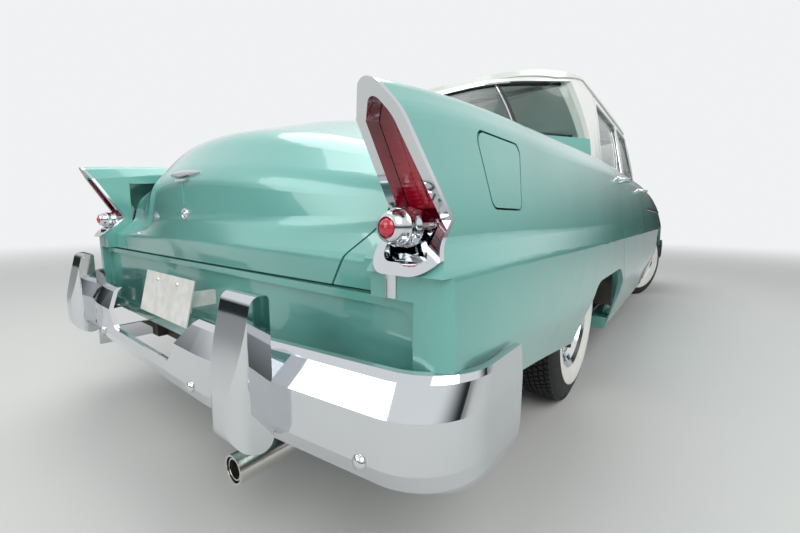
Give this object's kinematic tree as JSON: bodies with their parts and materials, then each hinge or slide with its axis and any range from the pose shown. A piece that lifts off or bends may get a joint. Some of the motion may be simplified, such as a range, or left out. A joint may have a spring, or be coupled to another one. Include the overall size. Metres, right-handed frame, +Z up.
{
  "type": "four-door saloon car",
  "caption": "Full-size 1950s saloon car with tail fins, wrapped bumpers, opening doors, hood, trunk and fuel door, steering and free-rolling wheels.",
  "frame": {"origin": "On the ground, midway along the car's length and width.", "axes": "+X forward, +Y to the car's left, +Z up."},
  "size_m": [5.202, 1.89, 1.5269],
  "materials": {
    "body_paint": "sea-green gloss enamel",
    "roof_paint": "white gloss enamel",
    "door_paint": "sea-green gloss enamel, white above the belt",
    "chrome": "bright chrome plate",
    "stainless": "steel",
    "lamp_red": "deep red lens",
    "glass": "clear laminated glass",
    "chassis_black": "satin black",
    "cast": "cast iron and steel",
    "rubber_tyre": "black rubber with a white side wall",
    "wheel_steel": "chrome cover on a painted rim",
    "seat_vinyl": "two-tone vinyl",
    "dash": "painted dash",
    "plate_white": "blank plate",
    "plastic": "ivory rim"
  },
  "bodies": {
    "body": {"roof": "roof_paint", "rear_deck": "body_paint", "cowl": "body_paint", "windshield": "glass", "rear_glass": "glass", "rear_panel": "body_paint", "front_valance": "body_paint", "grille": "chrome", "front_bumper": "chrome", "rear_bumper": "chrome", "number_plate": "plate_white", "tail_lamp_bezels": "chrome", "tail_lamp_lenses": "lamp_red", "headlamp_rims": "chrome", "headlamp_glass": "glass", "frame_rails": "chassis_black", "floor_pan": "chassis_black", "side_frame": "body_paint", "front_suspension": "cast", "rear_axle": "cast", "engine": "cast", "fuel_tank": "chassis_black", "exhaust": "stainless", "front_seat": "seat_vinyl", "rear_seat": "seat_vinyl", "dashboard": "dash", "fender_left": "body_paint", "fender_right": "body_paint", "quarter_left": "body_paint", "quarter_right": "body_paint"},
    "hood": {"hood": "body_paint"},
    "trunk_lid": {"trunk_lid": "body_paint"},
    "fuel_door": {"fuel_door": "body_paint"},
    "steering_wheel": {"steering_wheel": "plastic"},
    "tie_rod": {"tie_rod": "cast"},
    "front_door_left": {"door_front_left": "door_paint", "glass_front_left": "glass"},
    "rear_door_left": {"door_rear_left": "door_paint", "glass_rear_left": "glass"},
    "knuckle_left": {"knuckle_left": "cast"},
    "wheel_front_left": {"tyre_front_left": "rubber_tyre", "wheel_front_left": "wheel_steel"},
    "wheel_rear_left": {"tyre_rear_left": "rubber_tyre", "wheel_rear_left": "wheel_steel"},
    "front_door_right": {"door_front_right": "door_paint", "glass_front_right": "glass"},
    "rear_door_right": {"door_rear_right": "door_paint", "glass_rear_right": "glass"},
    "knuckle_right": {"knuckle_right": "cast"},
    "wheel_front_right": {"tyre_front_right": "rubber_tyre", "wheel_front_right": "wheel_steel"},
    "wheel_rear_right": {"tyre_rear_right": "rubber_tyre", "wheel_rear_right": "wheel_steel"}
  },
  "joints": [
    {"name": "steer_left", "type": "hinge", "parent": "body", "child": "knuckle_left", "pos_m": [1.731, 0.65, 0.355], "axis": [0, 0, 1], "range_deg": [-10, 60]},
    {"name": "spin_front_left", "type": "hinge", "parent": "knuckle_left", "child": "wheel_front_left", "pos_m": [1.77115, 0.7361, 0.355], "axis": [0.4226, 0.9063, 0], "continuous": true},
    {"name": "spin_rear_left", "type": "hinge", "parent": "body", "child": "wheel_rear_left", "pos_m": [-1.19, 0.745, 0.355], "axis": [0, 1, 0], "continuous": true},
    {"name": "front_door_left_hinge", "type": "hinge", "parent": "body", "child": "front_door_left", "pos_m": [0.925, 0.946, 0.6], "axis": [0, 0, -1], "range_deg": [0, 68]},
    {"name": "rear_door_left_hinge", "type": "hinge", "parent": "body", "child": "rear_door_left", "pos_m": [-0.023, 0.946, 0.6], "axis": [0, 0, -1], "range_deg": [0, 65]},
    {"name": "steer_right", "type": "hinge", "parent": "body", "child": "knuckle_right", "pos_m": [1.731, -0.65, 0.355], "axis": [0, 0, 1], "range_deg": [-10, 60]},
    {"name": "spin_front_right", "type": "hinge", "parent": "knuckle_right", "child": "wheel_front_right", "pos_m": [1.69085, -0.7361, 0.355], "axis": [0.4226, 0.9063, 0], "continuous": true},
    {"name": "spin_rear_right", "type": "hinge", "parent": "body", "child": "wheel_rear_right", "pos_m": [-1.19, -0.745, 0.355], "axis": [0, 1, 0], "continuous": true},
    {"name": "front_door_right_hinge", "type": "hinge", "parent": "body", "child": "front_door_right", "pos_m": [0.925, -0.946, 0.6], "axis": [0, 0, 1], "range_deg": [0, 68]},
    {"name": "rear_door_right_hinge", "type": "hinge", "parent": "body", "child": "rear_door_right", "pos_m": [-0.023, -0.946, 0.6], "axis": [0, 0, 1], "range_deg": [0, 65]},
    {"name": "hood_hinge", "type": "hinge", "parent": "body", "child": "hood", "pos_m": [1.04, 0, 1.106], "axis": [0, -1, 0], "range_deg": [0, 50]},
    {"name": "trunk_lid_hinge", "type": "hinge", "parent": "body", "child": "trunk_lid", "pos_m": [-1.66, 0, 1.146], "axis": [0, 1, 0], "range_deg": [0, 62]},
    {"name": "fuel_door_hinge", "type": "hinge", "parent": "body", "child": "fuel_door", "pos_m": [-2.054, -0.893, 0.87], "axis": [0, 0, 1], "range_deg": [0, 100]},
    {"name": "steering_wheel_turn", "type": "hinge", "parent": "body", "child": "steering_wheel", "pos_m": [0.43, 0.39, 0.95], "axis": [-0.8829, 0, 0.4695], "range_deg": [-160, 960]},
    {"name": "tie_rod_left_end", "type": "hinge", "parent": "knuckle_left", "child": "tie_rod", "pos_m": [1.59505, 0.71339, 0.25], "axis": [0, 0, 1], "range_deg": [-60, 10]}
  ],
  "couplings": [
    {"joint": "steer_right", "follows": "steer_left", "ratio": 1},
    {"joint": "steering_wheel_turn", "follows": "steer_left", "ratio": 16},
    {"joint": "tie_rod_left_end", "follows": "steer_left", "ratio": -1}
  ]
}
